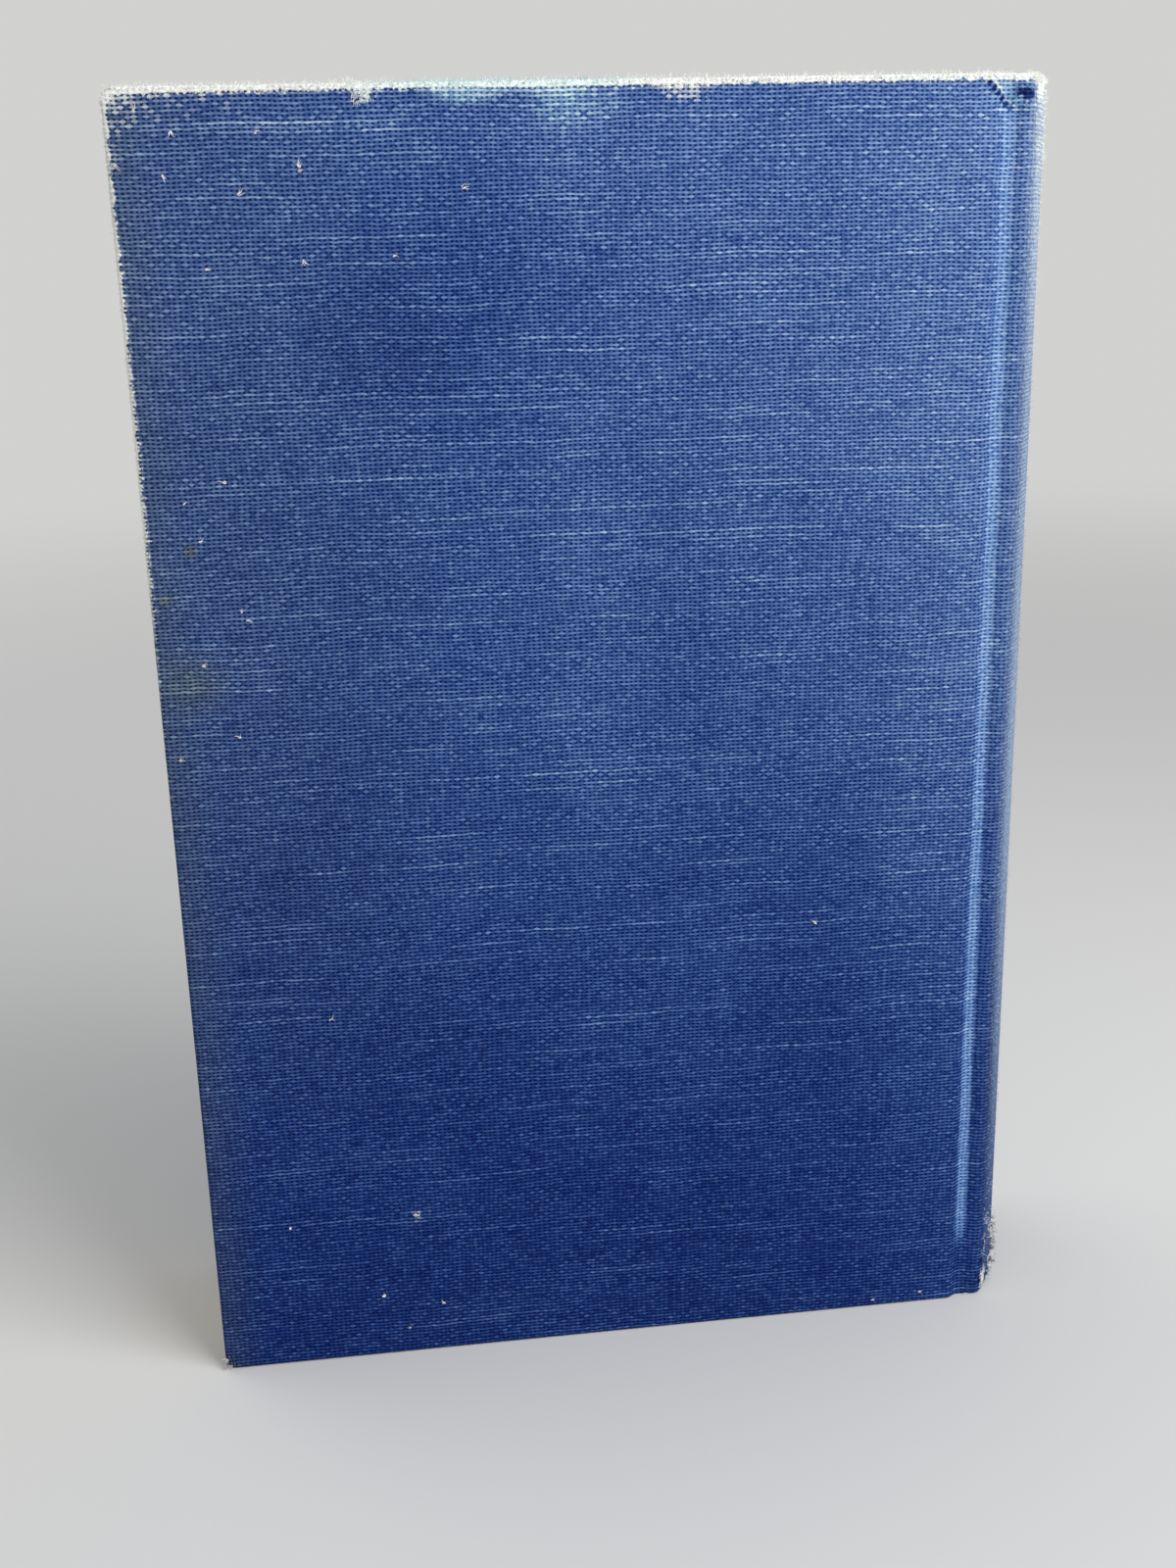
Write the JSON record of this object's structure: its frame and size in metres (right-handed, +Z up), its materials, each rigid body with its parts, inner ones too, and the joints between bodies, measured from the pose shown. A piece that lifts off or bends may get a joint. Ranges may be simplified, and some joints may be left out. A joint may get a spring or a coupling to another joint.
{
  "type": "hardback book",
  "caption": "Cloth-covered hardback book, closed and standing on its tail: two hinged covers, a rounded hollow spine and a sewn block of leaves.",
  "frame": {"origin": "middle of the closed book's footprint, on the surface that it stands on", "axes": "+Z up from tail to head, +X from the fore edge to the spine, +Y from the back cover to the front cover"},
  "size_m": [0.1296, 0.0322, 0.19],
  "materials": {
    "cover_cloth": "plain-weave book cloth, dyed blue, faded and rubbed at the edges",
    "board": "grey-brown binder's board",
    "spine_card": "thin brown card",
    "endpaper": "uncoated cream paper, toned at the edges",
    "leaves": "cut edges of uncoated book paper, toned with age",
    "lining_paper": "brown kraft paper",
    "mull": "open starched gauze",
    "headband": "woven band with a ribbed bead"
  },
  "bodies": {
    "book_block": {"text_block": "leaves", "back_flyleaf": "endpaper", "front_flyleaf": "endpaper", "spine_mull": "mull", "spine_lining": "lining_paper", "head_band": "headband", "tail_band": "headband", "spine_inlay": "spine_card", "spine_cloth": "cover_cloth"},
    "back_cover": {"back_board": "board", "back_cloth": "cover_cloth", "back_mull_flange": "mull", "back_pastedown": "endpaper"},
    "front_cover": {"front_board": "board", "front_cloth": "cover_cloth", "front_mull_flange": "mull", "front_pastedown": "endpaper"}
  },
  "joints": [
    {"name": "back_hinge", "type": "hinge", "parent": "book_block", "child": "back_cover", "pos_m": [0.0555, -0.0163, 0.095], "axis": [0, 0, 1], "range_deg": [0, 180]},
    {"name": "front_hinge", "type": "hinge", "parent": "book_block", "child": "front_cover", "pos_m": [0.0555, 0.0163, 0.095], "axis": [0, 0, -1], "range_deg": [0, 180]}
  ]
}
